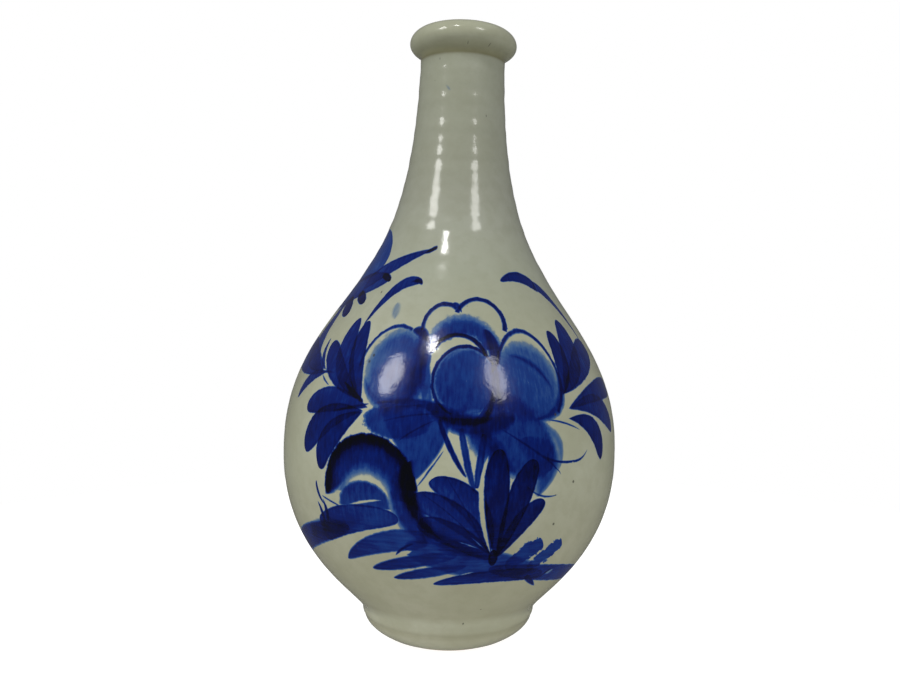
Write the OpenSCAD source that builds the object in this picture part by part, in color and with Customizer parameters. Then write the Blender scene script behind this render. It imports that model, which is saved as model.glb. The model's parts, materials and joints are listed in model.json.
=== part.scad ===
// Large sake bottle (tokkuri): wheel-thrown stoneware in seven clay members, luted
// together and fired, with a glaze coat outside, inside and in the foot well.
// The upper half leans a little to the right above the seam at the widest girth.
// Origin: centre of the resting plane. +Z up, +Y to the back.

/* [Overall size] */
// Height along the axis, from the resting plane to the top of the lip
bottle_h = 277; // [270:1:284]
// Lean of everything above the belly seam, in degrees towards +X
lean = 1.6; // [0:0.1:3]

/* [Belly] */
// Radius at the widest girth
belly_r = 75.4; // [73:0.2:78]
// Height of the widest girth, where the two halves are luted
belly_z = 86; // [82:1:90]
// Depth of the inside of the thrown wall below the glazed surface
wall_t = 4.8; // [4.4:0.2:5.6]

/* [Shoulder and neck] */
// Radius half way up the slope from belly to neck
shoulder_r = 41; // [39:0.5:43]
// Height at which that radius is reached
shoulder_z = 166; // [162:1:170]
// Slope of the shoulder there, in degrees from the axis
shoulder_slope = 30; // [27:1:33]
// Outer radius of the neck under the lip
neck_r = 19.3; // [18.5:0.1:20]
// Inner radius of the glazed mouth, which takes the stopper
mouth_r = 13.5; // [13:0.1:13.9]
// Depth of the straight bore below the lip's inner edge
bore_l = 30; // [25:1:40]

/* [Lip] */
// Outer radius of the rolled lip
lip_r = 24.5; // [23.5:0.1:25.5]
// Height of the lip's widest line below its top
lip_drop = 6.7; // [6:0.1:7.5]
// Radius of the circle along the lip's crest
crest_r = 16; // [15.6:0.1:16.4]

/* [Foot] */
// Outer radius of the flat ring that the bottle stands on
contact_r = 26; // [25:0.5:27]
// Radius of the foot's wall near its top
foot_r = 38.2; // [37.6:0.1:38.4]
// Radius where the body rises from the foot
waist_r = 39.3; // [39:0.1:40]
// Height of that line
foot_h = 14; // [13:0.5:15]
// Radius of the well turned out of the foot
well_r = 22; // [20:0.5:23]
// Depth of the well
well_h = 6; // [4:0.5:8]

/* [Glaze] */
// Thickness of every glaze coat
glaze_t = 0.4; // [0.3:0.1:0.6]
// Height above the resting plane at which the well's glaze stops
bare_h = 1; // [1:0.5:2]

/* [Hidden] */
$fn = 96;

clay = [0.80, 0.76, 0.68];
clay_dark = [0.70, 0.65, 0.57];
glaze_green = [0.66, 0.68, 0.60];

// The girth is a spherical band round its own middle, so the lean leaves no step in it. It
// starts this far below the middle and, along the leaning axis, ends this far above it.
band_h = round(10 * (belly_r * sin(lean) / 2 + 0.5)) / 10;
// How far the band runs on inside the wall that it is one piece with.
band_lap = 0.5;
// Clay radii and lip ellipse, all one glaze coat inside the glazed surface.
bore_r = mouth_r + glaze_t;
lip_z = bottle_h - lip_drop;
lip_a = lip_r - crest_r;
lip_under = 5.6;
lip_edge = crest_r - mouth_r;
neck_end_z = lip_z - 8.3;
bore_top_z = bottle_h - lip_edge;
bore_low_z = bore_top_z - bore_l;
cut_size = 3 * belly_r;

// The outline, as curves of four control points [radius, height], from the foot up.
foot_curve = [[contact_r, 0], [contact_r + 3.5, 2], [foot_r - 1.7, 5], [foot_r, 10]];
cove_curve = [[foot_r, 10], [foot_r + 0.1, 11.5], [waist_r - 0.1, 11], [waist_r, foot_h]];
lower_curve = [[waist_r, foot_h], [waist_r + 1.2, foot_h + 7.5],
               [belly_r, belly_z - 47], [girth_r(0), belly_z - band_h]];
shoulder_dir = [sin(shoulder_slope), -cos(shoulder_slope)];
shoulder_side = [cos(shoulder_slope), sin(shoulder_slope)];
upper_curve = [[girth_r(0), belly_z + band_h], [belly_r, belly_z + 39.5],
               [shoulder_r, shoulder_z] + 24.8 * shoulder_dir, [shoulder_r, shoulder_z]];
neck_curve = [[shoulder_r, shoulder_z], [shoulder_r, shoulder_z] - 12 * shoulder_dir,
              [neck_r + 1, neck_end_z - 66], [neck_r, neck_end_z]];
// Inside of the neck, up to the straight bore.
throat_curve = [[shoulder_r, shoulder_z] - wall_t * shoulder_side,
                [shoulder_r, shoulder_z] - wall_t * shoulder_side - 15 * shoulder_dir,
                [bore_r, bore_low_z - 40], [bore_r, bore_low_z]];
// Inside of the lower body, sweeping up from the flat floor.
bowl_curve = [[well_r, foot_h], [well_r + 17, foot_h + 1],
              [belly_r - wall_t, belly_z - 36], [girth_r(wall_t), belly_z - band_h]];

// Number of straight steps that each curve is drawn in.
foot_steps = 8;
cove_steps = 6;
body_steps = 30;
neck_steps = 20;
// How many of them belong to the neck's flared base, and the share of the curves they make.
base_steps = 12;
neck_split = base_steps / neck_steps;
lip_steps = 9;
// Share of the foot curve, from the ground up, that is left bare of glaze.
bare_share = 0.25;

function curve_point(c, t) = (1 - t) ^ 3 * c[0] + 3 * (1 - t) ^ 2 * t * c[1]
                             + 3 * (1 - t) * t ^ 2 * c[2] + t ^ 3 * c[3];
function curve_dir(c, t) = (1 - t) ^ 2 * (c[1] - c[0]) + 2 * (1 - t) * t * (c[2] - c[1])
                           + t ^ 2 * (c[3] - c[2]);
function inward(v) = [-v[1], v[0]] / norm(v);
// Points of a curve moved inwards by a depth, between two shares of its length.
function line(c, steps, depth = 0, from = 0, to = 1) =
    [for (i = [0:steps]) let (t = from + (to - from) * i / steps)
        curve_point(c, t) + depth * inward(curve_dir(c, t))];
// Radius of the band's rims, a depth below the glazed surface.
function girth_r(depth) = sqrt((belly_r - depth) ^ 2 - band_h ^ 2);
// The same lines up to the girth band, down to the foot or the floor, and above the band.
function lower_line(depth) = concat(line(lower_curve, body_steps - 1, depth, 0, 1 - 1 / body_steps),
                                    [[girth_r(depth), belly_z - band_h]]);
function bowl_line(depth) = concat(line(bowl_curve, body_steps - 1, depth, 0, 1 - 1 / body_steps),
                                   [[girth_r(wall_t + depth), belly_z - band_h]]);
function upper_line(depth) = concat([[girth_r(depth), belly_z + band_h]],
                                    line(upper_curve, body_steps - 1, depth, 1 / body_steps, 1));
function reversed(list) = [for (i = [len(list) - 1:-1:0]) list[i]];
// Quarter of an ellipse round a centre, from one angle to another.
function arc(centre, a, b, from, to) =
    [for (i = [0:lip_steps]) let (q = from + (to - from) * i / lip_steps)
        centre + [a * cos(q), b * sin(q)]];

// Outside of the rolled lip and over its crest to the bore, a depth below the glazed surface.
function lip_root_angle(depth) = -acos((neck_r - depth - crest_r) / (lip_a - depth));
function lip_root_z(depth) = lip_z + (lip_under - depth) * sin(lip_root_angle(depth));
function lip_line(depth) = concat(
    arc([crest_r, lip_z], lip_a - depth, lip_under - depth, lip_root_angle(depth), 0),
    arc([crest_r, lip_z], lip_a - depth, lip_drop - depth, 0, 90),
    arc([crest_r, bore_top_z], lip_edge - depth, lip_edge - depth, 90, 180));

// Turns an outline into a solid of revolution.
module turned(points) {
    rotate_extrude() polygon(points);
}

// Tilts what is above the belly seam about the middle of that seam.
module leaned() {
    translate([0, 0, belly_z]) rotate([0, lean, 0]) translate([0, 0, -belly_z]) children();
}

// Part of the girth band between two depths below the glazed surface. It laps into what is
// below it and, on request, into what is above it.
module girth_band(outer, inner, lap_above = 0) {
    translate([0, 0, belly_z]) difference() {
        sphere(r = belly_r - outer);
        sphere(r = belly_r - inner);
        translate([0, 0, -band_h - band_lap - cut_size / 2]) cube(cut_size, center = true);
        rotate([0, lean, 0])
            translate([0, 0, band_h + lap_above + cut_size / 2]) cube(cut_size, center = true);
    }
}

module foot_ring() {
    color(clay_dark) turned(concat(
        [[well_r, 0], [contact_r - glaze_t, 0]],
        line(foot_curve, foot_steps, glaze_t, bare_share, 1),
        line(cove_curve, cove_steps, glaze_t),
        [[well_r, foot_h]]));
}

module base_disc() {
    color(clay) translate([0, 0, well_h]) cylinder(h = foot_h - well_h, r = well_r);
}

module lower_body() {
    color(clay) union() {
        turned(concat(lower_line(glaze_t), reversed(bowl_line(0))));
        girth_band(glaze_t, wall_t);
    }
}

module upper_body() {
    color(clay) leaned() turned(concat(upper_line(glaze_t), reversed(upper_line(wall_t))));
}

module neck_base() {
    color(clay) leaned() turned(concat(
        line(neck_curve, base_steps, glaze_t, 0, neck_split),
        reversed(line(throat_curve, base_steps, 0, 0, neck_split))));
}

module neck() {
    color(clay_dark) leaned() turned(concat(
        line(neck_curve, neck_steps - base_steps, glaze_t, neck_split, 1),
        [[neck_r - glaze_t, lip_root_z(glaze_t)], [bore_r, lip_root_z(glaze_t)]],
        reversed(line(throat_curve, neck_steps - base_steps, 0, neck_split, 1))));
}

module mouth_ring() {
    color(clay) leaned() turned(concat(
        [[bore_r, lip_root_z(glaze_t)]], lip_line(glaze_t)));
}

module outer_glaze() {
    color(glaze_green) union() {
        turned(concat(
            line(foot_curve, foot_steps, 0, bare_share, 1),
            line(cove_curve, cove_steps),
            lower_line(0),
            reversed(lower_line(glaze_t)),
            reversed(line(cove_curve, cove_steps, glaze_t)),
            reversed(line(foot_curve, foot_steps, glaze_t, bare_share, 1))));
        girth_band(0, glaze_t, band_lap);
        leaned() turned(concat(
            upper_line(0),
            line(neck_curve, neck_steps),
            lip_line(0),
            reversed(lip_line(glaze_t)),
            reversed(line(neck_curve, neck_steps, glaze_t)),
            reversed(upper_line(glaze_t))));
    }
}

module inner_glaze() {
    color(glaze_green) union() {
        turned(concat(
            [[0, foot_h]],
            bowl_line(0),
            reversed(bowl_line(glaze_t)),
            [[0, foot_h + glaze_t]]));
        girth_band(wall_t, wall_t + glaze_t, band_lap);
        leaned() turned(concat(
            upper_line(wall_t),
            line(throat_curve, neck_steps),
            [[bore_r, bore_top_z], [mouth_r, bore_top_z]],
            reversed(line(throat_curve, neck_steps, glaze_t)),
            reversed(upper_line(wall_t + glaze_t))));
    }
}

module well_glaze() {
    color(glaze_green) difference() {
        translate([0, 0, bare_h]) cylinder(h = well_h - bare_h, r = well_r);
        translate([0, 0, bare_h - glaze_t])
            cylinder(h = well_h - bare_h, r = well_r - glaze_t);
    }
}

foot_ring();
base_disc();
lower_body();
upper_body();
neck_base();
neck();
mouth_ring();
outer_glaze();
inner_glaze();
well_glaze();
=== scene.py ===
# Large sake bottle: wheel-thrown stoneware, grey-green glaze, brushed cobalt peony.
import json
import math

import bmesh
import bpy
import numpy as np
from mathutils import Matrix, Vector


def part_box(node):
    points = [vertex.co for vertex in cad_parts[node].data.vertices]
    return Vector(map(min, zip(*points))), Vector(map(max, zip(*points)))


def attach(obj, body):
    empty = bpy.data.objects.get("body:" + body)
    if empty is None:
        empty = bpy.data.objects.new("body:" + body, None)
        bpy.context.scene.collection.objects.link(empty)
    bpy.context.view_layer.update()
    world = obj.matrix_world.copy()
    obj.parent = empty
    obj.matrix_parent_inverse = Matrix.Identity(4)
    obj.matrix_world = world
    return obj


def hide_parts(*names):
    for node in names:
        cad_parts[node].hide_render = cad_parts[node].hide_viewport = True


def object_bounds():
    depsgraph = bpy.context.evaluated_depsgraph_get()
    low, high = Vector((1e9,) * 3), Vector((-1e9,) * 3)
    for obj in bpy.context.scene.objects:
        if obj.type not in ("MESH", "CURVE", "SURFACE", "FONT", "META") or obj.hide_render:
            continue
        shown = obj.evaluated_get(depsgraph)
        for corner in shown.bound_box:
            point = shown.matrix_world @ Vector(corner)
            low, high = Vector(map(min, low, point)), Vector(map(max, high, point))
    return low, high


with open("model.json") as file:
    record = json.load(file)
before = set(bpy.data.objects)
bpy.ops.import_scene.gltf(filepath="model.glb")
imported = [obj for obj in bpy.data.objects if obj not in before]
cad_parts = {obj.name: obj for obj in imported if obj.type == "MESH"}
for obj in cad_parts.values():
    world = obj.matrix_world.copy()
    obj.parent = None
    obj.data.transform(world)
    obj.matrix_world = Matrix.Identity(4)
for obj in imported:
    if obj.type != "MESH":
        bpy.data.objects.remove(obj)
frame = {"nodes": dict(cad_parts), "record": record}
cad_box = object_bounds()
MM = 0.001

# ---------------------------------------------------------------- sizes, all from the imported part
outer_lo, outer_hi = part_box("outer_glaze")
inner_lo, inner_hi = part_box("inner_glaze")
body_lo, body_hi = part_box("lower_body")
ring_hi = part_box("foot_ring")[1]
well_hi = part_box("well_glaze")[1]
bore = next(m for m in frame["record"]["mounts"] if m["name"] == "mouth_bore")
bore_at, bore_axis = Vector(bore["pos_m"]) / MM, Vector(bore["axis"])
bore_r, bore_l = bore["dims"]["r_mm"], bore["dims"]["length_mm"]
lean = math.atan2(bore_axis.x, bore_axis.z)
seam_z = bore_at.z - bore_at.x * bore_axis.z / bore_axis.x
rim_z = seam_z + math.hypot(bore_at.x, bore_at.z - seam_z) + bore_l / 2
belly_r = (outer_hi.y - outer_lo.y) / 2 / MM
wall = belly_r - (inner_hi.y - inner_lo.y) / 2 / MM
coat = belly_r - (body_hi.y - body_lo.y) / 2 / MM
foot_h = ring_hi.z / MM
well_r, well_h = well_hi.y / MM, well_hi.z / MM
band = 1.6  # half the height over which the upper half starts to lean
CHART_TOP = 300.0  # the painting's chart runs from 0 to this height, in mm
PER_DEGREE = 1.3  # mm round the belly for each degree, on the painting's chart


# ---------------------------------------------------------------- outlines [radius, height] in mm
def curve(points, n, start=0.0, end=1.0):
    """Points on a cubic curve of four control points."""
    t = np.linspace(start, end, n)[:, None]
    a, b, c, d = np.array(points, float)
    return (1 - t) ** 3 * a + 3 * (1 - t) ** 2 * t * b + 3 * (1 - t) * t ** 2 * c + t ** 3 * d


def oval(centre, a, b, start, end, n):
    """Points on part of an ellipse, between two angles in degrees."""
    q = np.radians(np.linspace(start, end, n))[:, None]
    return np.hstack([centre[0] + a * np.cos(q), centre[1] + b * np.sin(q)])


def girth(r):
    """Radius of a ball of radius r where the spherical band ends."""
    return math.sqrt(r * r - band * band)


slope = np.array([math.sin(math.radians(30)), -math.cos(math.radians(30))])  # down the shoulder
inwards = np.array([slope[1], -slope[0]])  # square to the shoulder, into the bottle
shoulder = np.array([41.0, seam_z + 80])
belly_pull, shoulder_pull = 39.5, 24.8  # how far the upper belly's curve keeps its direction
waist = 39.3  # radius where the belly meets the cove over the foot
neck_r = 19.3  # radius of the neck under the lip
lip_centre = (16.0, rim_z - 4.2)
lip_out, lip_down, lip_up = 8.5, 5.6, 6.7  # reach of the rolled lip from its centre
edge_r = 2.5  # rounding of the lip's edge into the mouth
foot_line = [[26, 0], [29.5, 2], [36.5, 5], [38.2, 10]]
cove_line = [[38.2, 10], [38.3, 11.5], [waist - 0.1, 11], [waist, foot_h]]


def smooth_join(parts):
    """Joins lines end to end, dropping doubled points."""
    out = [parts[0][0]]
    for p in np.vstack(parts):
        if np.hypot(*(p - out[-1])) > 1e-4:
            out.append(p)
    return np.array(out)


def outer_profile():
    """Outside from the edge of the glaze on the foot to the top of the bore."""
    return smooth_join([
        curve(foot_line, 80, 0.25, 1),
        curve(cove_line, 60),
        curve([[waist, foot_h], [waist + 1.2, foot_h + 7.5], [belly_r, seam_z - 47],
               [girth(belly_r), seam_z - band]], 900),
        oval((0, seam_z), belly_r, belly_r, -1.2, 1.2, 12),
        curve([[girth(belly_r), seam_z + band], [belly_r, seam_z + belly_pull],
               shoulder + shoulder_pull * slope, shoulder], 1000),
        curve([shoulder, shoulder - 12 * slope, [neck_r + 1, rim_z - 78.5],
               [neck_r, rim_z - 12.5]], 1000),
        curve([[neck_r, rim_z - 11.9], [neck_r, rim_z - 9.6], [20.2, rim_z - 9.2],
               [21.46, rim_z - 8.5]], 40),
        oval(lip_centre, lip_out, lip_down, -50, 0, 60),
        oval(lip_centre, lip_out, lip_up, 0, 90, 120),
        oval((lip_centre[0], rim_z), edge_r, edge_r, 90, 180, 40),
    ])


def inside_profile(depth):
    """Inside from the floor's middle to the top of the bore, a depth off the clay's surface."""
    d = depth
    throat = shoulder + wall * inwards
    throat_r = bore_r + coat
    parts = [
        np.array([[0, foot_h], [well_r - 2, foot_h]]),
        curve([[well_r, foot_h], [well_r + 17, foot_h + 1], [belly_r - wall, seam_z - 36],
               [girth(belly_r - wall), seam_z - band]], 160),
        curve([[girth(belly_r), seam_z + band], [belly_r, seam_z + belly_pull],
               shoulder + shoulder_pull * slope, shoulder], 140),
        curve([throat, throat - 15 * slope, [throat_r, rim_z - 70], [throat_r, rim_z - 30]], 120),
        np.array([[throat_r, rim_z]]),
    ]
    parts[2] = shifted(parts[2], wall)
    line = smooth_join(parts)
    return shifted(line, d) if d else line


def shifted(line, depth):
    """A line moved towards the axis side by a depth."""
    d = np.gradient(line, axis=0)
    n = np.stack([-d[:, 1], d[:, 0]], 1) / np.linalg.norm(d, axis=1)[:, None]
    return line + depth * n


def rows_of(line, step):
    """Points along a line at a spacing that step(height) gives."""
    s = np.concatenate([[0], np.cumsum(np.hypot(*np.diff(line, axis=0).T))])
    at = [0.0]
    while at[-1] < s[-1]:
        at.append(at[-1] + step(np.interp(at[-1], s, line[:, 1])))
    at = np.array(at) * s[-1] / at[-1]
    return np.stack([np.interp(at, s, line[:, 0]), np.interp(at, s, line[:, 1])], 1)


# ---------------------------------------------------------------- meshes
def leaned(x, y, z):
    """Tilts what is above the belly seam, with the change spread over the spherical band."""
    share = np.clip((z - seam_z + band) / (2 * band), 0, 1)
    a = lean * share * share * (3 - 2 * share)
    h = z - seam_z
    return x * np.cos(a) + h * np.sin(a), y, seam_z - x * np.sin(a) + h * np.cos(a)


def turned(name, line, columns, closed, material, wobble=None):
    """A closed mesh turned from an outline. A point on the axis becomes one pole vertex."""
    line = np.array(line, float)
    angle = np.linspace(-math.pi, math.pi, columns, endpoint=False)
    s = np.concatenate([[0], np.cumsum(np.hypot(*np.diff(line, axis=0).T))])
    verts, rings = [], []
    for i, (r, z) in enumerate(line):
        pole = r < 1e-6
        a = np.zeros(1) if pole else angle
        rr, zz = np.full(len(a), r), np.full(len(a), z)
        if wobble is not None and not pole:
            dr, dz = wobble(i, s[i], a)
            rr, zz = rr + dr, zz + dz
        x, y, h = leaned(rr * np.sin(a), -rr * np.cos(a), zz)
        rings.append((len(verts), pole))
        verts.extend(zip(x * MM, y * MM, h * MM))
    faces, uvs = [], []
    pairs = list(zip(range(len(line) - 1), range(1, len(line))))
    if closed:
        pairs.append((len(line) - 1, 0))
    total = s[-1]
    for i, j in pairs:
        (a, pole_a), (b, pole_b) = rings[i], rings[j]
        sj = s[j] if j > i else total
        for k in range(columns):
            m = (k + 1) % columns
            f = [(a if pole_a else a + k, k, i, s[i])]
            if not pole_a:
                f.append((a + m, k + 1, i, s[i]))
            if not pole_b:
                f.append((b + m, k + 1, j, sj))
            f.append((b if pole_b else b + k, k, j, sj))
            faces.append([v[0] for v in f])
            uvs.extend((v[1] / columns, v[3] / total, line[v[2]][1] / CHART_TOP) for v in f)
    mesh = bpy.data.meshes.new(name)
    mesh.from_pydata(verts, [], faces)
    baked = mesh.uv_layers.new(name="OFBake")
    baked.data.foreach_set("uv", np.array([[u, v] for u, v, _ in uvs], np.float32).ravel())
    chart = mesh.uv_layers.new(name="chart")
    chart.data.foreach_set("uv", np.array([[u, h] for u, _, h in uvs], np.float32).ravel())
    bm = bmesh.new()
    bm.from_mesh(mesh)
    bmesh.ops.recalc_face_normals(bm, faces=bm.faces)
    bm.to_mesh(mesh)
    bm.free()
    mesh.polygons.foreach_set("use_smooth", [True] * len(mesh.polygons))
    mesh.materials.append(material)
    piece = bpy.data.objects.new(name, mesh)
    bpy.context.scene.collection.objects.link(piece)
    return piece


# ---------------------------------------------------------------- node helpers
class Tree:
    """Adds nodes to a tree in the order they are needed; inputs are numbers or sockets."""

    def __init__(self, tree):
        self.tree = tree

    def node(self, kind, **settings):
        n = self.tree.nodes.new(kind)
        for key, value in settings.items():
            setattr(n, key, value)
        return n

    def put(self, socket, value):
        if isinstance(value, bpy.types.NodeSocket):
            self.tree.links.new(value, socket)
        else:
            socket.default_value = value

    def fill(self, node, values):
        """Puts values into a node's first inputs, in their order."""
        for socket, value in zip(node.inputs, values):
            self.put(socket, value)
        return node

    def preset(self, node, values):
        """Puts values into a node's inputs by their names."""
        for label, value in values.items():
            self.put(node.inputs[label], value)
        return node

    def math(self, op, *values):
        return self.fill(self.node("ShaderNodeMath", operation=op), values).outputs[0]

    def vector(self, op, *values):
        n = self.fill(self.node("ShaderNodeVectorMath", operation=op), values)
        return n.outputs["Value" if op in ("DOT_PRODUCT", "LENGTH", "DISTANCE") else "Vector"]

    def ease(self, value, low, high, to_low=0.0, to_high=1.0, kind="SMOOTHSTEP"):
        """A value carried from one range to another, held at both ends."""
        n = self.node("ShaderNodeMapRange", interpolation_type=kind, clamp=kind == "LINEAR")
        return self.fill(n, (value, low, high, to_low, to_high)).outputs[0]

    def millimetres(self):
        """The place on the bottle, in mm."""
        at = self.node("ShaderNodeTexCoord").outputs["Object"]
        return self.vector("MULTIPLY", at, (1 / MM,) * 3)

    def noise(self, at, scale, detail=2.0, rough=0.5):
        n = self.node("ShaderNodeTexNoise")
        self.preset(n, {"Vector": at, "Scale": scale, "Detail": detail, "Roughness": rough})
        return n.outputs[0]

    def mix(self, factor, a, b, blend="MIX"):
        n = self.node("ShaderNodeMix", data_type="RGBA", blend_type=blend)
        self.put(n.inputs[0], factor)
        self.put(n.inputs[6], a)
        self.put(n.inputs[7], b)
        return n.outputs[2]

    def ramp(self, value, stops):
        n = self.node("ShaderNodeValToRGB")
        ramp = n.color_ramp
        while len(ramp.elements) < len(stops):
            ramp.elements.new(0.5)
        for e, (at, colour) in zip(ramp.elements, stops):
            e.position, e.color = at, srgb(*colour)
        self.put(n.inputs[0], value)
        return n.outputs[0]


def srgb(r, g, b):
    """A colour from display values 0 to 255."""
    linear = [((c / 255 + 0.055) / 1.055) ** 2.4 if c > 10 else c / 255 / 12.92 for c in (r, g, b)]
    return (*linear, 1.0)


def material(name):
    m = bpy.data.materials.new(name)
    m.use_nodes = True
    return m, Tree(m.node_tree), m.node_tree.nodes["Principled BSDF"]


# ---------------------------------------------------------------- brush tools
LAYER_INPUTS = (("Place", "Vector"), ("Edge", "Float"), ("Ink", "Float"))
BRUSH_INPUTS = LAYER_INPUTS + (
    ("Along", "Vector"), ("Across", "Vector"), ("Bend", "Float"), ("First", "Float"),
    ("Last", "Float"), ("Width", "Float"), ("Rough", "Float"), ("Soft", "Float"),
    ("Load", "Float"), ("Run", "Float"), ("Side", "Float"), ("Pool", "Float"))
OVAL_INPUTS = LAYER_INPUTS + (
    ("Scale", "Vector"), ("Shift", "Vector"), ("Aim", "Vector"), ("Reach", "Float"),
    ("Rough", "Float"), ("Soft", "Float"), ("Fade from", "Float"), ("Fade to", "Float"),
    ("Open", "Float"), ("Load", "Float"), ("Slope", "Float"))


def new_group(name, inputs):
    group = bpy.data.node_groups.new(name, "ShaderNodeTree")
    for label, kind in inputs:
        group.interface.new_socket(name=label, in_out="INPUT", socket_type="NodeSocket" + kind)
    group.interface.new_socket(name="Ink", in_out="OUTPUT", socket_type="NodeSocketFloat")
    t = Tree(group)
    return group, t, t.node("NodeGroupInput").outputs


def laid_on(t, ink, cover, load):
    """Ink after one more layer: the darker of the two, and a little of the other."""
    layer = t.math("MULTIPLY", cover, load)
    more = t.math("MAXIMUM", ink, layer)
    less = t.math("MINIMUM", ink, layer)
    return t.math("MULTIPLY_ADD", less, 0.35, more)


def stroke_cover(t, i):
    """Distance along a stroke, distance off its bent middle line, and depth inside its edge."""
    along = t.vector("DOT_PRODUCT", i["Place"], i["Along"])
    kept = t.node("ShaderNodeClamp")
    t.put(kept.inputs[0], along)
    along = kept.outputs[0]
    off = t.vector("DOT_PRODUCT", i["Place"], i["Across"])
    left = t.math("SUBTRACT", 1.0, along)
    arch = t.math("MULTIPLY", along, left)
    off = t.math("MULTIPLY_ADD", arch, i["Bend"], off)
    shape = t.math("MULTIPLY", t.math("POWER", along, i["First"]), t.math("POWER", left, i["Last"]))
    half = t.math("MULTIPLY_ADD", i["Edge"], i["Rough"], i["Width"])
    depth = t.math("SUBTRACT", t.math("MULTIPLY", shape, half), t.math("ABSOLUTE", off))
    return along, off, depth


def thinned(t, i, depth):
    """Ink after a place inside an edge has been left bare, wholly or in part."""
    kept = t.math("MULTIPLY_ADD", t.ease(depth, 0.0, i["Soft"]), i["Load"], 1.0)
    return t.math("MULTIPLY", i["Ink"], kept)


def stroke_group():
    group, t, i = new_group("brush stroke", BRUSH_INPUTS)
    along, off, depth = stroke_cover(t, i)
    cover = t.ease(depth, 0.0, i["Soft"])
    load = t.math("MULTIPLY_ADD", along, i["Run"], i["Load"])
    load = t.math("MULTIPLY_ADD", off, i["Side"], load)
    load = t.math("ADD", load, t.ease(depth, 0.2, 1.8, i["Pool"], 0.0))
    ink = laid_on(t, i["Ink"], cover, load)
    t.put(t.node("NodeGroupOutput").inputs[0], ink)
    return group


def line_group():
    group, t, i = new_group("thin line", BRUSH_INPUTS)
    along, _, depth = stroke_cover(t, i)
    cover = t.ease(depth, 0.0, i["Soft"])
    load = t.math("MULTIPLY_ADD", along, i["Run"], i["Load"])
    ink = laid_on(t, i["Ink"], cover, load)
    t.put(t.node("NodeGroupOutput").inputs[0], ink)
    return group


def gap_group():
    group, t, i = new_group("bare gap", BRUSH_INPUTS)
    ink = thinned(t, i, stroke_cover(t, i)[2])
    t.put(t.node("NodeGroupOutput").inputs[0], ink)
    return group


def oval_cover(t, i):
    """Place and distance from an oval's centre in its radii, and depth inside its edge."""
    spot = t.vector("MULTIPLY_ADD", i["Place"], i["Scale"], i["Shift"])
    out = t.vector("LENGTH", spot)
    reach = t.math("MULTIPLY_ADD", i["Edge"], i["Rough"], i["Reach"])
    return spot, out, t.math("SUBTRACT", reach, t.math("MULTIPLY", out, i["Reach"]))


def oval_group():
    group, t, i = new_group("oval wash", OVAL_INPUTS)
    spot, out, depth = oval_cover(t, i)
    cover = t.math("MULTIPLY", t.ease(depth, 0.0, i["Soft"]),
                   t.ease(depth, i["Fade from"], i["Fade to"], 1.0, 0.0))
    toward = t.vector("DOT_PRODUCT", spot, i["Aim"])
    wedge = t.math("MULTIPLY_ADD", out, i["Open"], toward)
    cover = t.math("MULTIPLY", cover, t.ease(wedge, 0.0, 0.05))
    load = t.math("MULTIPLY_ADD", toward, i["Slope"], i["Load"])
    ink = laid_on(t, i["Ink"], cover, load)
    t.put(t.node("NodeGroupOutput").inputs[0], ink)
    return group


def oval_gap_group():
    group, t, i = new_group("oval gap", OVAL_INPUTS)
    ink = thinned(t, i, oval_cover(t, i)[2])
    t.put(t.node("NodeGroupOutput").inputs[0], ink)
    return group


# ---------------------------------------------------------------- the painting
# Places are (degrees round the bottle from the front, millimetres up); + is to the right.
# Half widths, soft edges and bows are millimetres on the belly.
PAINT = []
NO_FADE = (900.0, 999.0)  # depths that no wash reaches


def brush(points, half, tips=(0.5, 0.5), ink=0.9, run=0.0, side=0.0, pool=0.25, soft=0.8,
          rough=0.5, kind="stroke"):
    """A stroke from the first to the last of two or three places, through the middle one.

    tips are how sharp its ends are; run is more ink towards the end, side more on its left."""
    a, b = (np.array([p[0] * PER_DEGREE, p[1]]) for p in (points[0], points[-1]))
    d = b - a
    length = math.hypot(*d)
    left = np.array([-d[1], d[0]]) / length
    bow = 0.0
    if len(points) == 3:
        m = np.array([points[1][0] * PER_DEGREE, points[1][1]]) - a
        t = min(max(m @ d / length ** 2, 0.2), 0.8)
        bow = (m @ left) / (4 * t * (1 - t))
    first, last = tips
    peak = (first / (first + last)) ** first * (last / (first + last)) ** last
    PAINT.append((kind, {
        "Along": (*(d / length ** 2), -(a @ d) / length ** 2), "Across": (*left, -(a @ left)),
        "Bend": -4 * bow, "First": first, "Last": last, "Width": half / peak, "Rough": rough / peak,
        "Soft": soft, "Load": ink * (1 - run), "Run": 2 * ink * run, "Side": ink * side / half,
        "Pool": ink * pool}))


def line(points, half=0.6, ink=0.85, tips=(0.3, 0.4), rough=0.25):
    """A thin line through three, five, seven... places."""
    last = len(points) - 3
    for k in range(0, len(points) - 2, 2):
        ends = (tips[0] if k == 0 else 0.03, tips[1] if k == last else 0.03)
        brush(points[k:k + 3], half, ends, ink, soft=0.7, rough=rough, kind="line")


def gap(points, half, tips=(0.5, 0.5), share=1.0, soft=0.7):
    """A place that the brush left bare."""
    brush(points, half, tips, ink=-share, soft=soft, kind="gap")


def wash(centre, radii, ink=0.5, soft=1.0, fade=NO_FADE, aim=90.0, opened=180.0, slope=0.0,
         rough=1.0, kind="wash"):
    """A round wash. fade makes it a rim, opened keeps so many degrees each side of aim."""
    rx, rz = radii[0] * PER_DEGREE, radii[1]
    q = math.radians(aim)
    PAINT.append((kind, {
        "Scale": (1 / rx, 1 / rz, 0.0),
        "Shift": (-centre[0] * PER_DEGREE / rx, -centre[1] / rz, 0.0),
        "Aim": (math.cos(q), math.sin(q), 0.0), "Reach": (rx + rz) / 2,
        "Rough": rough, "Soft": soft, "Fade from": fade[0], "Fade to": fade[1],
        "Open": 9.0 if opened >= 180 else -math.cos(math.radians(opened)),
        "Load": ink, "Slope": ink * slope}))


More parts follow.
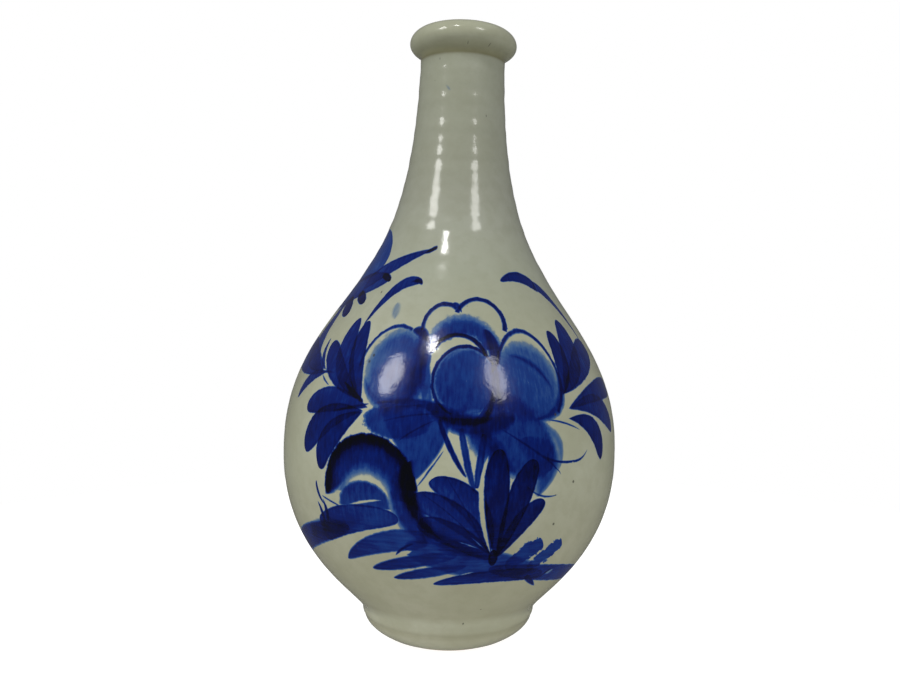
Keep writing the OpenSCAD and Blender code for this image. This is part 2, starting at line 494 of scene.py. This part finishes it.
def rim(centre, radii, aim, opened, half=0.6, ink=0.8):
    """An outline along part of a wash: a soft line, and on it a crisp one with a rough edge."""
    radii = (radii[0] + half / PER_DEGREE, radii[1] + half)
    wash(centre, radii, ink, 0.9, (2 * half - 0.6, 2 * half + 0.5), aim, opened, rough=0.35)
    wash(centre, radii, ink, 0.6, (2 * half - 0.5, 2 * half + 0.15), aim, opened)


# Peony, upper petals: washes, the bare arch under the top petal, then the outlines.
wash((-19.2, 124.8), (13.4, 17.2), 0.58, 7, aim=5, slope=0.45, rough=2)
wash((-18, 119), (12.4, 10.5), 0.48, 5, aim=5, slope=0.3, rough=2)
brush([(-30, 120), (-25, 113), (-12, 110.5)], 3.6, (0.3, 0.3), 0.6, soft=3.5)
brush([(-12, 140), (-11, 128), (-14.5, 111)], 5.2, (0.3, 0.3), 0.92, soft=4)
brush([(-16, 139.8), (-12.4, 138.8), (-8.6, 134.5)], 2.7, (0.4, 0.5), 1.15, soft=1.8)
brush([(-9, 134), (-8.8, 122), (-6.6, 109)], 3.0, (0.3, 0.3), 0.5, soft=1.2)
wash((3.8, 131), (16.2, 16.8), 0.76, 6, (9, 11), 93, 84, rough=2)
wash((1.2, 126.6), (9.4, 11), -1.0, 1.2, kind="wash gap")
brush([(12.5, 141), (15, 133), (12.6, 123)], 3.8, (0.3, 0.5), 1.1, soft=2.2)
wash((4.6, 120.6), (11.2, 13.8), 0.72, 2.5, aim=250, slope=0.16, rough=1.5)
gap([(3.5, 108.7), (9.2, 110)], 1.5, share=0.4, soft=1.6)
gap([(-3, 127), (1, 131.3), (8, 132.6)], 1.6, share=0.3, soft=1.6)
wash((25.8, 120.5), (14.2, 17.8), 0.57, 6.5, aim=225, slope=0.3, rough=2)
brush([(39, 126), (37, 113), (26, 106.4)], 3.4, (0.3, 0.3), 0.85, soft=3)
brush([(15, 127), (14.4, 116), (17, 105)], 4.2, (0.3, 0.3), 0.92, soft=3.5)
brush([(20, 131), (28, 128), (35, 118)], 2.2, (0.4, 0.4), 0.78, pool=0, soft=2)
rim((-21.5, 126), (12, 15.2), 125, 62, 0.8, 0.66)
rim((-4, 141.5), (8.6, 9.2), 122, 70, 1.05, 0.82)
line([(-1, 150.8), (2, 149.6), (3.2, 147.4)], 1.2, 0.95)
rim((10.8, 144), (10.8, 9), 68, 92, 1.15, 0.82)
rim((1.8, 128), (10.4, 10.4), 88, 76, 1.1, 1.1)
rim((4.5, 120.5), (11, 13.6), 138, 110, 0.85, 0.85)
rim((27, 122), (12.2, 19), 60, 105, 0.9, 0.72)
# Peony, lower petals.
wash((-16.5, 104.5), (11.6, 7.2), 0.7, 2, rough=2)
brush([(-12, 111), (-8.9, 97), (-9.5, 83)], 13.8, (0.12, 0.8), 0.7, pool=0.1, soft=1.6)
brush([(9, 109), (22, 97), (32, 86)], 16, (0.2, 0.35), 0.72, pool=0, soft=4.5, rough=1.5)
brush([(23, 100), (30.5, 86), (27.6, 75.4)], 8.4, (0.3, 0.5), 0.62, pool=0, soft=4.5)
brush([(27, 105), (34.8, 98), (35.5, 87)], 2.8, (0.4, 0.4), 0.3, pool=0, soft=2.8)
brush([(8.5, 104), (13, 96), (20, 86)], 4.4, (0.3, 0.4), 0.9, pool=0, soft=3.5)
brush([(-7, 109.5), (5, 104.5), (20, 107)], 5.6, (0.4, 0.3), 1.0, pool=0, soft=3)
brush([(-25, 110.6), (-12, 111.8), (3, 107.5)], 2.6, (0.5, 0.3), 1.0, soft=1.8)
brush([(-4, 107), (4.5, 105.4), (13, 107)], 2.6, (0.4, 0.5), 1.5, soft=1.8)
brush([(12.8, 118), (12, 110.5), (8, 104.6)], 1.9, (0.4, 0.3), 1.25, soft=1.4)
line([(-15.5, 97), (-10, 102), (-4, 106)], 0.65, 1.1)
line([(-21, 104), (-12, 107), (-3, 108)], 0.6, 1.0)
line([(31, 106.3), (38, 104.8), (45, 101.6)], 0.6)
line([(14, 104), (21, 98.6), (28, 93), (34, 90.1), (41, 89.5), (45.5, 90.6), (48.3, 93.6)],
     0.75, 1.0)
line([(28, 92.4), (33, 88.5), (36, 83.3)], 0.65, 1.0)
line([(23, 81), (28, 76.2), (35, 75.5)], 0.65)
# Stems, with bare glaze between them.
line([(-3.5, 106), (0.4, 94.5), (5, 84.3)], 1.3, 1.1, (0.15, 0.3))
brush([(3.2, 103), (4.8, 92), (7.4, 79)], 1.6, (0.12, 0.2), 0.7)
brush([(10, 101), (9.2, 92), (8, 80)], 1.8, (0.12, 0.2), 0.75)
line([(-9.3, 80.5), (-5, 88), (-1.7, 94.5)], 0.6, 0.8)
# Left three-lobed leaf.
brush([(-54.4, 106.8), (-42.5, 110.6), (-26.5, 108.8)], 5.5, (0.42, 0.8), 0.92, side=-0.15)
brush([(-52.2, 89.4), (-46.6, 98.8), (-28, 107.5)], 6.1, (0.42, 0.8), 1.0, side=0.15)
brush([(-44.3, 84.6), (-40.6, 94.6), (-28, 107.2)], 5.5, (0.42, 0.8), 1.05)
line([(-40, 106), (-34, 108), (-26.3, 110.3)], 0.9, 1.2)
# Left upper cluster.
brush([(-45.3, 143.4), (-42.6, 129.5), (-30, 111.4)], 5.8, (0.42, 0.75), 0.9, side=0.1)
brush([(-38.7, 142.6), (-36.3, 129), (-29.6, 111.2)], 4.7, (0.4, 0.7), 0.98)
brush([(-53.8, 133.2), (-46, 124.8), (-30.5, 111.6)], 5.1, (0.45, 0.8), 0.92)
brush([(-38, 118), (-33, 114), (-28.6, 110.8)], 1.3, (0.4, 0.3), 1.4)
# Leaves at the left edge.
brush([(-69, 151), (-68.5, 135), (-52, 121.6)], 6.6, (0.3, 0.6), 0.8)
brush([(-92, 132), (-72, 127), (-51, 121.3)], 7.2, (0.4, 0.6), 0.8)
brush([(-57.4, 134.8), (-55.4, 127.5), (-50, 122)], 1.5, (0.4, 0.5), 0.85)
brush([(-64.2, 109), (-59.8, 116), (-49, 121)], 2.7, (0.5, 0.6), 0.85)
line([(-53, 120.4), (-49, 121.2), (-44, 121)], 0.8, 0.9)
line([(-50.5, 119.8), (-48, 117.8), (-45, 116)], 0.6)
# Leaves above them.
brush([(-49.8, 169), (-64, 171.5), (-96, 170)], 12.5, (0.45, 0.35), 0.62, pool=0.5)
brush([(-38.5, 161), (-57, 158.4), (-92, 147)], 6.6, (0.5, 0.3), 0.78, pool=0.4)
brush([(-13.2, 174.5), (-32, 169.6), (-58, 159)], 4.2, (0.95, 0.15), 0.88, run=-0.15)
brush([(-12.8, 174.9), (-16, 173.8), (-22, 171.8)], 1.25, (0.25, 0.6), 1.9, soft=1.2)
brush([(-46, 162.6), (-42, 161.6), (-37.8, 160.2)], 1.9, (0.3, 0.38), 1.35)
brush([(-58, 154.8), (-53, 152.6), (-48.2, 150.4)], 2.5, (0.3, 0.38), 1.35)
brush([(-66, 152), (-60.5, 148), (-55.8, 145.2)], 3.6, (0.3, 0.4), 1.2)
brush([(-17.6, 160), (-33.6, 154.4), (-40.2, 140.8)], 2.9, (0.32, 0.55), 0.85, run=0.1)
brush([(-17.2, 158.8), (-20, 160), (-24.5, 159.2)], 1.5, (0.3, 0.6), 1.2, soft=1.2)
brush([(-27.4, 150.8), (-25.4, 143.6)], 3.8, (0.4, 0.5), 0.1, pool=0, soft=2.6)
# Right leaves.
brush([(43, 141.2), (43.2, 129), (39.2, 115.5)], 5.0, (0.4, 0.7), 1.0)
brush([(54.6, 145.2), (50.6, 132), (39.5, 116)], 7.2, (0.42, 0.8), 0.9)
brush([(68.5, 135.6), (56, 128.8), (39.5, 116)], 6.3, (0.4, 0.8), 0.85)
brush([(40.6, 110.2), (55, 115.4), (77, 117.2)], 4.8, (0.7, 0.25), 0.85)
brush([(41, 110), (57, 110.6), (69.7, 100.4)], 5.5, (0.8, 0.35), 0.85)
brush([(39.8, 106.4), (52.2, 101.8), (57.8, 89.4)], 4.8, (0.85, 0.38), 1.0)
brush([(25.2, 161.3), (37, 163.5), (50, 159.8)], 2.9, (0.38, 0.05), 0.95)
brush([(48.6, 160.6), (59.8, 153.4), (66.4, 136.6)], 2.8, (0.05, 0.5), 0.8)
# Rock: near-black arch that pales inwards, its right limb, and the wash inside it.
wash((-25.2, 77.5), (16.4, 22), 0.95, 1.4, aim=86, opened=100)
wash((-25.2, 77.5), (16.4, 22), 2.3, 1.4, (1.2, 8.5), 96, 94)
wash((-25.5, 73), (11.6, 16), -1.0, 6, kind="wash gap")
gap([(-42, 70.5), (-38, 74), (-33, 81)], 3.6, (0.2, 0.7), soft=3.5)
brush([(-12.6, 89), (-9.6, 70), (4, 55.5)], 4.6, (0.12, 0.62), 1.5, run=-0.35, soft=3)
brush([(-15.4, 86), (-13.2, 71), (-6, 57)], 6.0, (0.3, 0.3), 0.85, soft=4)
brush([(-9, 64), (2, 56.5), (15, 50.5)], 4.8, (0.3, 0.6), 0.9, soft=3)
wash((-26.6, 71), (9.6, 11.2), 0.68, 2, aim=90, opened=92, slope=0.25)
gap([(-34, 69.8), (-27, 73), (-20, 74.4)], 0.95)
brush([(-17.5, 79), (-16.3, 74), (-16.8, 69)], 0.9, (0.4, 0.4), 0.4, soft=1)
# Ground at the left.
brush([(-15.3, 67.5), (-28, 66.6), (-46, 58.5)], 6.4, (0.35, 0.12), 0.85, run=0.15)
brush([(-33, 62), (-52, 55.4), (-78, 43)], 5.4, (0.3, 0.25), 1.0, pool=0, soft=1.6)
brush([(-26, 66), (-40, 61), (-56, 54)], 5.4, (0.6, 0.3), 0.75, run=0.5, pool=0, soft=4.5)
brush([(-44, 62), (-44.3, 66), (-45.8, 70.5)], 1.3, (0.2, 0.6), 1.0)
brush([(-42, 63), (-42, 68), (-43, 72)], 1.3, (0.2, 0.6), 1.0)
line([(-45.6, 78.9), (-44.8, 74), (-42.5, 69.5)], 0.9, 1.1)
line([(-43.2, 73.2), (-39, 71.4), (-35, 70)], 0.6)
# Ground strokes at the front.
brush([(-14, 56), (5, 50.2), (32, 44.5)], 7.4, (0.3, 0.4), 0.7, pool=0, soft=2)
brush([(-38, 47.2), (-24, 56), (-7, 59.5)], 5.0, (0.55, 0.2), 0.75, run=-0.3, soft=1.2)
brush([(-27.9, 44.7), (-15, 48.8), (3, 53)], 3.2, (0.5, 0.4), 0.8, run=-0.4, soft=1.2)
brush([(-20.4, 41.2), (-10, 44.2), (6, 48)], 2.7, (0.5, 0.4), 0.8, run=-0.4, soft=1.2)
brush([(-5.6, 39.5), (12, 42.7), (38, 40.6)], 3.4, (0.45, 0.25), 0.86)
brush([(14, 46.4), (44, 40), (90, 29)], 4.1, (0.3, 0.5), 0.8, pool=0)
brush([(30, 41), (38.4, 34.5)], 1.6, (0.2, 0.8), 0.9)
brush([(20, 46.5), (26, 52), (32.3, 56.3)], 4.2, (0.3, 0.2), 0.75, pool=0, rough=3.2)
brush([(29, 44.5), (35.4, 50), (41.2, 55)], 3.6, (0.3, 0.2), 0.68, pool=0, rough=3.4)
line([(-11, 57.5), (-15, 55), (-17.5, 52)], 0.9, 1.1)
gap([(-16.3, 52.4), (-11.6, 54.4)], 1.1)
gap([(-5.2, 42.1), (-1.3, 43.5)], 0.75)
gap([(4, 44), (9, 45.4)], 0.6)
gap([(40.3, 40.1), (43.7, 41.5)], 1.2, share=0.8)
line([(37.5, 38.5), (40, 41), (43, 42)], 0.8, 1.3)
# Leaves at the foot of the stems.
brush([(-5, 83.6), (4.4, 76.4), (13.4, 53)], 5.7, (0.35, 0.6), 0.9, side=0.2)
brush([(-11, 76.4), (0.8, 70), (13.4, 53)], 5.5, (0.3, 0.6), 0.9, side=0.2)
brush([(-9, 66.6), (2, 61), (14, 51)], 5.3, (0.3, 0.5), 0.95)
gap([(11.4, 93), (9.6, 77), (13.9, 53)], 1.5, (0.4, 0.5))
brush([(14.7, 95.4), (14.2, 77), (15.6, 51)], 5.4, (0.4, 0.75), 1.2)
brush([(26.2, 91.2), (21.8, 77), (15.8, 51)], 5.3, (0.38, 0.75), 1.2)
brush([(29.9, 74.2), (23.2, 66.3), (16, 51)], 4.4, (0.4, 0.75), 1.1)
gap([(2.6, 59.1), (10, 55.6)], 0.5)
gap([(6.8, 60.9), (11.6, 55.4)], 0.5)
line([(-1, 85), (4.5, 73), (10, 60)], 0.5, 1.2)
line([(-8, 78), (2, 68), (9, 58)], 0.5, 1.2)
brush([(14.6, 55), (15, 47.8)], 2.4, (0.4, 0.4), 1.4)
# A faint smudge high on the neck.
brush([(-22, 247.8), (-18, 246.5), (-14, 245.2)], 1.6, (0.5, 0.5), 0.09, pool=0, soft=1.8)
# Round the back, where the ground runs out and one spray grows.
brush([(-72, 45.5), (-92, 40.5), (-118, 39.5)], 3.4, (0.3, 0.8), 0.9)
brush([(-84, 39), (-100, 36.6), (-112, 36.4)], 1.8, (0.4, 0.8), 0.85)
brush([(84, 31), (104, 30.5), (128, 34)], 2.8, (0.2, 0.8), 0.9)
line([(112, 34), (124, 62), (143, 100)], 0.9, 0.9)
brush([(143, 99), (150, 113), (151, 131)], 4.6, (0.7, 0.42), 0.95)
brush([(142, 98), (137, 112), (126, 123)], 4.4, (0.7, 0.42), 0.95)
brush([(143, 98), (157, 104), (168, 101)], 4.2, (0.75, 0.42), 0.9)
brush([(131, 78), (123, 88), (111, 92)], 4.0, (0.7, 0.42), 0.95)
brush([(129, 74), (141, 77), (150, 71)], 4.0, (0.7, 0.42), 0.9)
brush([(122, 58), (113, 64), (103, 63)], 3.4, (0.7, 0.42), 0.9)
brush([(-96, 117), (-110, 124), (-118, 137)], 4.2, (0.7, 0.42), 0.9)
brush([(-94, 112), (-108, 109), (-120, 99)], 4.2, (0.7, 0.42), 0.9)


def painted_ink(t, place, edge):
    """Chains every stroke of the painting; the result is how much cobalt lies there."""
    groups = {"stroke": stroke_group(), "line": line_group(), "gap": gap_group(),
              "wash": oval_group(), "wash gap": oval_gap_group()}
    ink = 0.0
    for kind, values in PAINT:
        n = t.node("ShaderNodeGroup", node_tree=groups[kind])
        ink = t.preset(n, {"Place": place, "Edge": edge, "Ink": ink, **values}).outputs[0]
    return ink


# ---------------------------------------------------------------- materials
# Colours are display values from 0 to 255.
GLAZE_A, GLAZE_B, GLAZE_C = (154, 156, 139), (147, 149, 130), (137, 138, 117)
SPECK, GRIT = (46, 44, 40), (96, 78, 58)
FULL_INK = 2.6  # the amount of ink at the end of the cobalt's colours
COBALT = ((0.0, (95, 112, 122)), (0.115, (50, 80, 124)), (0.21, (16, 48, 110)),
          (0.33, (2, 22, 88)), (0.48, (0, 8, 62)), (0.7, (1, 2, 26)), (1.0, (2, 3, 9)))
# Painted light and shade up the bottle, multiplied into the glaze's colour: (height in mm, share of
# its colour in 255ths).
# Lighter by the foot, a painted shade band in the cove over the foot and under the lip, darker on
# the neck.
PAINTED_SHADE_BY_HEIGHT = tuple((z / CHART_TOP, colour) for z, colour in (
    (0, (262, 259, 255)), (7.5, (258, 254, 250)), (10.3, (234, 230, 222)), (13, (258, 256, 253)),
    (16, (262, 260, 257)), (20, (242, 238, 230)), (60, (242, 240, 234)), (85, (255, 255, 252)),
    (130, (252, 252, 250)), (165, (241, 244, 248)), (200, (231, 232, 238)),
    (261.2, (238, 240, 243)), (262.4, (188, 184, 164)), (264.8, (224, 222, 208)),
    (268, (252, 252, 250)), (280, (255, 255, 254))))
# Iron specks that show on the front: (degrees round, millimetres up).
SPECKS = ((35, 63.5), (41.5, 79.8), (34.5, 108.2), (-29, 129), (-30, 126.5), (-40, 155), (9, 17),
          (-32, 259.8), (32.5, 235), (5, 265.8), (32, 266))


def glaze(name, painted=False):
    """Glossy grey-green ash glaze with iron specks, and the cobalt painting under it."""
    m, t, bsdf = material(name)
    at = t.millimetres()
    broad = t.noise(at, 0.022, 2)
    mottle = t.noise(at, 0.16, 4, 0.6)
    fine = t.noise(at, 0.9, 3, 0.55)
    base = t.mix(t.ease(broad, 0.35, 0.65), srgb(*GLAZE_A), srgb(*GLAZE_B))
    base = t.mix(t.ease(mottle, 0.35, 0.7, 0.0, 0.35), base, srgb(*GLAZE_C))
    cells = t.preset(t.node("ShaderNodeTexVoronoi", feature="F1"), {"Vector": at, "Scale": 0.14})
    pick = t.node("ShaderNodeSeparateColor")
    t.put(pick.inputs[0], cells.outputs["Color"])
    size = t.ease(pick.outputs[0], 0.66, 1.0, 0.0, 0.08, "LINEAR")
    speck = t.ease(t.math("SUBTRACT", size, cells.outputs["Distance"]), 0.0, 0.03)
    if painted:
        chart = t.node("ShaderNodeUVMap", uv_map="chart").outputs[0]
        place = t.vector("MULTIPLY_ADD", chart, (360 * PER_DEGREE, CHART_TOP, 0.0),
                         (-180 * PER_DEGREE, 0.0, 1.0))
        edge = t.math("MULTIPLY_ADD", t.noise(at, 0.42, 3, 0.6), 1.7, -0.85)
        # The hand's slight tremble. It also makes every stroke wait for this noise, which keeps
        # the shader within its memory.
        tremble = t.node("ShaderNodeCombineXYZ")
        t.put(tremble.inputs[0], edge)
        t.put(tremble.inputs[1], edge)
        place = t.vector("MULTIPLY_ADD", tremble.outputs[0], (0.06, 0.05, 0.0), place)
        ink = painted_ink(t, place, edge)
        ink = t.math("MULTIPLY", ink, t.ease(mottle, 0.25, 0.75, 0.84, 1.16, "LINEAR"))
        spot = t.node("ShaderNodeSeparateXYZ")
        t.put(spot.inputs[0], place)
        # Bristle marks: upright in the flower, level in the ground.
        upright = t.noise(t.vector("MULTIPLY", place, (0.75, 0.16, 0.0)), 1.0, 3, 0.6)
        level = t.noise(t.vector("MULTIPLY", place, (0.1, 0.9, 0.0)), 1.0, 3, 0.6)
        turn = t.ease(spot.outputs[1], 58.0, 72.0)
        streak = t.math("ADD", t.math("MULTIPLY", upright, turn),
                        t.math("MULTIPLY", level, t.math("SUBTRACT", 1.0, turn)))
        ink = t.math("MULTIPLY", ink, t.ease(streak, 0.25, 0.75, 0.78, 1.22, "LINEAR"))
        # Painted light and shade by height, multiplied into the glaze's colour.
        height_shade = t.ramp(t.math("MULTIPLY", spot.outputs[1], 1 / CHART_TOP), PAINTED_SHADE_BY_HEIGHT)
        base = t.mix(1.0, base, height_shade, "MULTIPLY")
        near = 9.0
        for angle, up in SPECKS:
            away = t.vector("DISTANCE", place, (angle * PER_DEGREE, up, 1.0))
            near = t.math("MINIMUM", near, away)
        ragged = t.math("MULTIPLY_ADD", edge, 0.25, near)
        speck = t.math("MAXIMUM", speck, t.ease(ragged, 0.35, 0.75, 0.9, 0.0))
        cobalt = t.ramp(t.math("MULTIPLY", ink, 1 / FULL_INK), COBALT)
        base = t.mix(t.ease(ink, 0.0, 0.14), base, cobalt)
    base = t.mix(t.math("MULTIPLY", speck, 0.85), base, srgb(*SPECK))
    t.put(bsdf.inputs["Base Color"], base)
    t.put(bsdf.inputs["Roughness"], t.ease(mottle, 0.3, 0.7, 0.16, 0.26, "LINEAR"))
    t.preset(bsdf, {"IOR": 1.5, "Specular IOR Level": 0.12, "Coat Weight": 0.34, "Coat IOR": 1.45,
                    "Coat Roughness": 0.06})
    bump = t.preset(t.node("ShaderNodeBump"), {"Distance": 0.00004, "Strength": 0.85})
    t.put(bump.inputs["Height"], t.math("ADD", t.noise(at, 0.55, 2), t.math("MULTIPLY", fine, 0.5)))
    t.put(bsdf.inputs["Normal"], bump.outputs[0])
    t.put(bsdf.inputs["Coat Normal"], bump.outputs[0])
    return m


def clay(name, light, dark):
    """Bare fired stoneware: warm grey, grainy, with fine iron specks."""
    m, t, bsdf = material(name)
    at = t.millimetres()
    grain = t.noise(at, 1.6, 5, 0.65)
    base = t.mix(t.ease(t.noise(at, 0.09, 3), 0.3, 0.7), srgb(*light), srgb(*dark))
    base = t.mix(t.ease(grain, 0.56, 0.72, 0.0, 0.6), base, srgb(*GRIT))
    t.put(bsdf.inputs["Base Color"], base)
    t.put(bsdf.inputs["Roughness"], t.ease(grain, 0.3, 0.7, 0.72, 0.92, "LINEAR"))
    bump = t.preset(t.node("ShaderNodeBump"), {"Distance": 0.00015, "Strength": 0.6})
    t.put(bump.inputs["Height"], grain)
    t.put(bsdf.inputs["Normal"], bump.outputs[0])
    return m


painted_glaze = glaze("painted_glaze", True)
plain_glaze = glaze("plain_glaze")
bare_clay = clay("bare_clay", (186, 170, 146), (170, 150, 124))
inner_clay = clay("inner_clay", (190, 176, 152), (176, 160, 134))

# ---------------------------------------------------------------- the pieces
COLUMNS = 240


def thrown(i, s, a):
    """Slight rings and waves that the potter's fingers leave on the outside; mostly on the neck."""
    far = np.sin(a + s / 55)
    w = 0.05 * np.sin(s / 1.75 + 0.6 * far) + 0.04 * np.sin(s / 1.02 + 0.8 * np.sin(a + 2) + 1)
    w = w + 0.03 * np.sin(s / 2.9 + 2 * np.sin(2 * a + s / 30))
    share = thrown_share[i]
    return w * share * normals[i][0], w * share * normals[i][1]


def tight(z):
    """Whether the outline bends tightly here, at the foot and the lip."""
    return z < foot_h + 2 or z > rim_z - 14


line_out = rows_of(outer_profile(), lambda z: 0.45 if tight(z) else 1.2)
line_back = shifted(rows_of(outer_profile(), lambda z: 0.9 if tight(z) else 9.0), coat * 0.92)[::-1]
loop = np.vstack([line_out, line_back])
d = np.gradient(line_out, axis=0)
normals = np.stack([d[:, 1], -d[:, 0]], 1) / np.linalg.norm(d, axis=1)[:, None]
normals = np.vstack([normals, np.zeros_like(line_back)])
thrown_share = np.interp(
    loop[:, 1], [0, foot_h + 2, foot_h + 12, seam_z + 70, seam_z + 100, rim_z - 16, rim_z - 10],
    [0.0, 0.0, 0.25, 0.25, 1, 1, 0.25])
outside = turned("glaze_outside", loop, COLUMNS, True, painted_glaze, thrown)
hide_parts("outer_glaze")

floor_line = rows_of(inside_profile(coat), lambda z: 2.4 if z < rim_z - 8 else 0.8)
clay_line = rows_of(inside_profile(0), lambda z: 8.0)[::-1]
floor_line[0][0], clay_line[-1][0] = 0.0, 0.0
floor_line[-1] = [bore_r, rim_z]
inside = turned("glaze_inside", np.vstack([floor_line, clay_line]), 120, False, plain_glaze)
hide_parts("inner_glaze")

corner = 1.2  # rounding between the well's roof and its side
under = smooth_join([
    np.array([[0, well_h - coat], [well_r * 0.5, well_h - coat],
              [well_r - coat - corner, well_h - coat]]),
    oval((well_r - coat - corner, well_h - coat - corner), corner, corner, 90, 0, 8),
    np.array([[well_r - coat, 2.6], [well_r - coat, 1.3], [well_r - 0.2, 1.0], [well_r, 1.05],
              [well_r, 3.0], [well_r, well_h], [well_r * 0.5, well_h], [0, well_h]]),
])
well = turned("glaze_foot_well", under, 120, False, plain_glaze)
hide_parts("well_glaze")

ring_line = smooth_join([
    np.array([[well_r, 1.0], [well_r + 0.15, 0.25], [well_r + 0.7, 0.0], [25.0, 0.0]]),
    shifted(curve(foot_line, 24), coat)[1:],
    shifted(curve(cove_line, 16), coat)[1:],
    np.array([[32.0, foot_h], [well_r, foot_h], [well_r, 8.0], [well_r, 4.0]]),
])
ring = turned("foot_ring_clay", ring_line, 160, True, bare_clay)
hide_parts("foot_ring")

for piece, slot in ((outside, "glaze"), (inside, "glaze"), (well, "glaze"), (ring, "clay")):
    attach(piece, "root")
for name in ("base_disc", "lower_body", "upper_body", "neck_base", "neck", "mouth_ring"):
    node = frame["nodes"][name]
    node.data.materials.clear()
    node.data.materials.append(inner_clay)

# ---------------------------------------------------------------- floor, camera, light
height = cad_box[1].z
floor_m, t, bsdf = material("pale_floor")
at = t.millimetres()
base = t.mix(t.ease(t.noise(at, 0.05, 3), 0.3, 0.7), srgb(160, 160, 159), srgb(155, 155, 154))
t.put(bsdf.inputs["Base Color"], base)
t.preset(bsdf, {"Roughness": 0.8, "Specular IOR Level": 0.2, "Emission Color": (1, 1, 1, 1),
                "Emission Strength": 0.9})
bpy.ops.mesh.primitive_circle_add(
    vertices=96, radius=1.6 * height, fill_type="NGON", location=(0, 0, 0))
floor = bpy.context.object
floor.name = "floor"
floor.data.materials.append(floor_m)
floor.visible_glossy = False

# The camera's place, fitted to the photo's outline; distances in bottle heights, angles in radians.
CAMERA_AWAY, CAMERA_UP, LOOK_DOWN, ROLL = 1.5, 0.512, 0.01345, 0.00774
camera = bpy.data.objects.new("camera", bpy.data.cameras.new("camera"))
bpy.context.scene.collection.objects.link(camera)
camera.data.sensor_width, camera.data.lens = 36, 36
camera.location = (0, -CAMERA_AWAY * height, CAMERA_UP * height)
camera.rotation_euler = (math.radians(90) - LOOK_DOWN, 0, 0)
camera.rotation_mode = "XYZ"
camera.matrix_world = camera.matrix_basis @ Matrix.Rotation(ROLL, 4, "Z")
bpy.context.scene.camera = camera

WARM, WHITE = (1, 0.99, 0.97), (1, 1, 1)
LAMP_DISTANCE = 2.4  # metres from the middle of the bottle


def lamp(name, azimuth, elevation, size, radiance, colour):
    """A soft oval lamp facing the bottle; azimuth 0 is the camera's side, + to the right."""
    a, e = math.radians(azimuth), math.radians(elevation)
    light = bpy.data.lights.new(name, "AREA")
    light.shape, light.size, light.size_y = "ELLIPSE", size[0], size[1]
    light.energy = radiance * math.pi * math.pi / 4 * size[0] * size[1]
    light.color = colour
    o = bpy.data.objects.new(name, light)
    bpy.context.scene.collection.objects.link(o)
    out = Vector((math.sin(a) * math.cos(e), -math.cos(a) * math.cos(e), math.sin(e)))
    o.location = Vector((0, 0, 0.5 * height)) + out * LAMP_DISTANCE
    o.rotation_euler = out.to_track_quat("Z", "Y").to_euler()


lamp("box_left", -50, 38, (0.58, 0.92), 20, WARM)
lamp("box_right", 38, 38, (0.55, 0.96), 15, WARM)
lamp("small_lamp", -21.5, 58.5, (0.22, 0.26), 85, WHITE)

world = bpy.data.worlds.new("studio")
bpy.context.scene.world = world
world.use_nodes = True
t = Tree(world.node_tree)
back = world.node_tree.nodes["Background"]
way = t.node("ShaderNodeSeparateXYZ")
t.put(way.inputs[0], t.node("ShaderNodeTexCoord").outputs["Generated"])
# The room is lighter above, on the left and on the camera's side.
room = t.math("MULTIPLY", t.ease(way.outputs[2], -0.1, 0.8, 0.34, 0.5),
              t.ease(way.outputs[1], 0.2, 1.0, 1.0, 0.8))
room = t.math("MULTIPLY", room, t.ease(way.outputs[0], -1.0, 1.0, 1.16, 0.94, "LINEAR"))
path = t.node("ShaderNodeLightPath")
# Reflections see a darker room, so that only the lamps shine on the dark cobalt.
seen = t.ease(path.outputs["Is Glossy Ray"], 0.0, 1.0, 1.0, 0.35, "LINEAR")
room = t.math("MULTIPLY", room, seen)
t.put(back.inputs["Strength"], t.math("MAXIMUM", room, path.outputs["Is Camera Ray"]))
back.inputs["Color"].default_value = (1, 1, 1, 1)
bpy.context.scene.view_settings.view_transform = "Standard"

bpy.context.view_layer.update()
